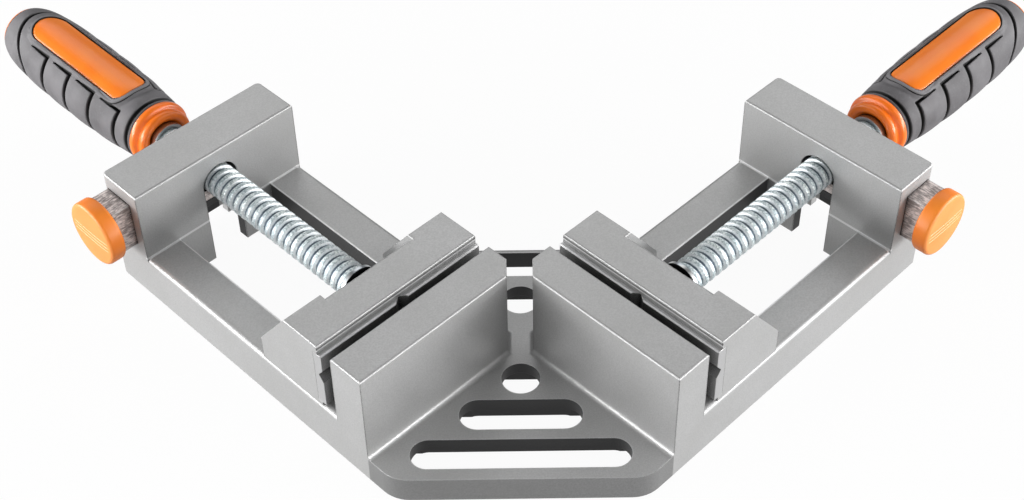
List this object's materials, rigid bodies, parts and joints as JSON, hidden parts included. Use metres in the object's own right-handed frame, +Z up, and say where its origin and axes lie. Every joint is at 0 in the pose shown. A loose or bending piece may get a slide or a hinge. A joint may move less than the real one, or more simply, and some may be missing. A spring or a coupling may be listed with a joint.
{
  "type": "corner clamp",
  "caption": "Cast right-angle corner clamp with two sliding jaws, screw handles with soft grips, thumb release buttons and a slotted corner plate.",
  "frame": {"origin": "corner point where the two fixed clamp faces meet, at bench level, on the axis of the round relief hole", "axes": "+X to the right across both arms, +Y away from the corner plate towards the handles, +Z up from the bench"},
  "size_m": [0.4634, 0.2412, 0.056],
  "materials": {
    "cast_aluminium": "satin silver cast finish",
    "machined_steel": "machined",
    "zinc_steel": "bright zinc plate",
    "zinc_thread": "bright zinc plate, rolled thread",
    "zinc_bar": "grey sintered steel",
    "orange_plastic": "moulded, glossy",
    "button_plastic": "moulded, satin",
    "grip_rubber": "matt overmould"
  },
  "bodies": {
    "base": {"base_casting": "cast_aluminium", "left_stop_pin": "zinc_steel", "left_return_spring": "zinc_steel", "right_stop_pin": "zinc_steel", "right_return_spring": "zinc_steel"},
    "left_jaw": {"left_moving_jaw": "cast_aluminium", "left_jaw_pad": "machined_steel", "left_pad_screws": "zinc_steel", "left_keeper_plate": "machined_steel", "left_keeper_screws": "zinc_steel", "left_thrust_washer": "zinc_steel", "left_retaining_pins": "zinc_steel"},
    "left_screw": {"left_screw_spindle": "zinc_thread", "left_handle_core": "orange_plastic", "left_handle_grip": "grip_rubber", "left_handle_ferrule": "zinc_steel", "left_handle_pin": "zinc_steel"},
    "left_release": {"left_slide_bar": "zinc_bar", "left_release_button": "button_plastic"},
    "right_jaw": {"right_moving_jaw": "cast_aluminium", "right_jaw_pad": "machined_steel", "right_pad_screws": "zinc_steel", "right_keeper_plate": "machined_steel", "right_keeper_screws": "zinc_steel", "right_thrust_washer": "zinc_steel", "right_retaining_pins": "zinc_steel"},
    "right_screw": {"right_screw_spindle": "zinc_thread", "right_handle_core": "orange_plastic", "right_handle_grip": "grip_rubber", "right_handle_ferrule": "zinc_steel", "right_handle_pin": "zinc_steel"},
    "right_release": {"right_slide_bar": "zinc_bar", "right_release_button": "button_plastic"}
  },
  "joints": [
    {"name": "left_jaw_slide", "type": "slide", "parent": "base", "child": "left_jaw", "axis": [-0.7071, 0.7071, 0], "range_m": [-0.005, 0.07]},
    {"name": "left_screw_spin", "type": "hinge", "parent": "left_jaw", "child": "left_screw", "pos_m": [-0.11048, 0.03094, 0.0396], "axis": [-0.7071, 0.7071, 0], "range_deg": [-450.2, 6300.2]},
    {"name": "left_release_press", "type": "slide", "parent": "base", "child": "left_release", "axis": [0.7071, 0.7071, 0], "range_m": [0, 0.004], "stiffness_N_per_m": 900, "springref_m": -0.006},
    {"name": "right_jaw_slide", "type": "slide", "parent": "base", "child": "right_jaw", "axis": [0.7071, 0.7071, 0], "range_m": [-0.005, 0.07]},
    {"name": "right_screw_spin", "type": "hinge", "parent": "right_jaw", "child": "right_screw", "pos_m": [0.11048, 0.03094, 0.0396], "axis": [0.7071, 0.7071, 0], "range_deg": [-450.2, 6300.2]},
    {"name": "right_release_press", "type": "slide", "parent": "base", "child": "right_release", "axis": [-0.7071, 0.7071, 0], "range_m": [0, 0.004], "stiffness_N_per_m": 900, "springref_m": -0.006}
  ],
  "couplings": [
    {"joint": "left_screw_spin", "follows": "left_jaw_slide", "rad_per_m": 1570.8},
    {"joint": "right_screw_spin", "follows": "right_jaw_slide", "rad_per_m": 1570.8}
  ]
}
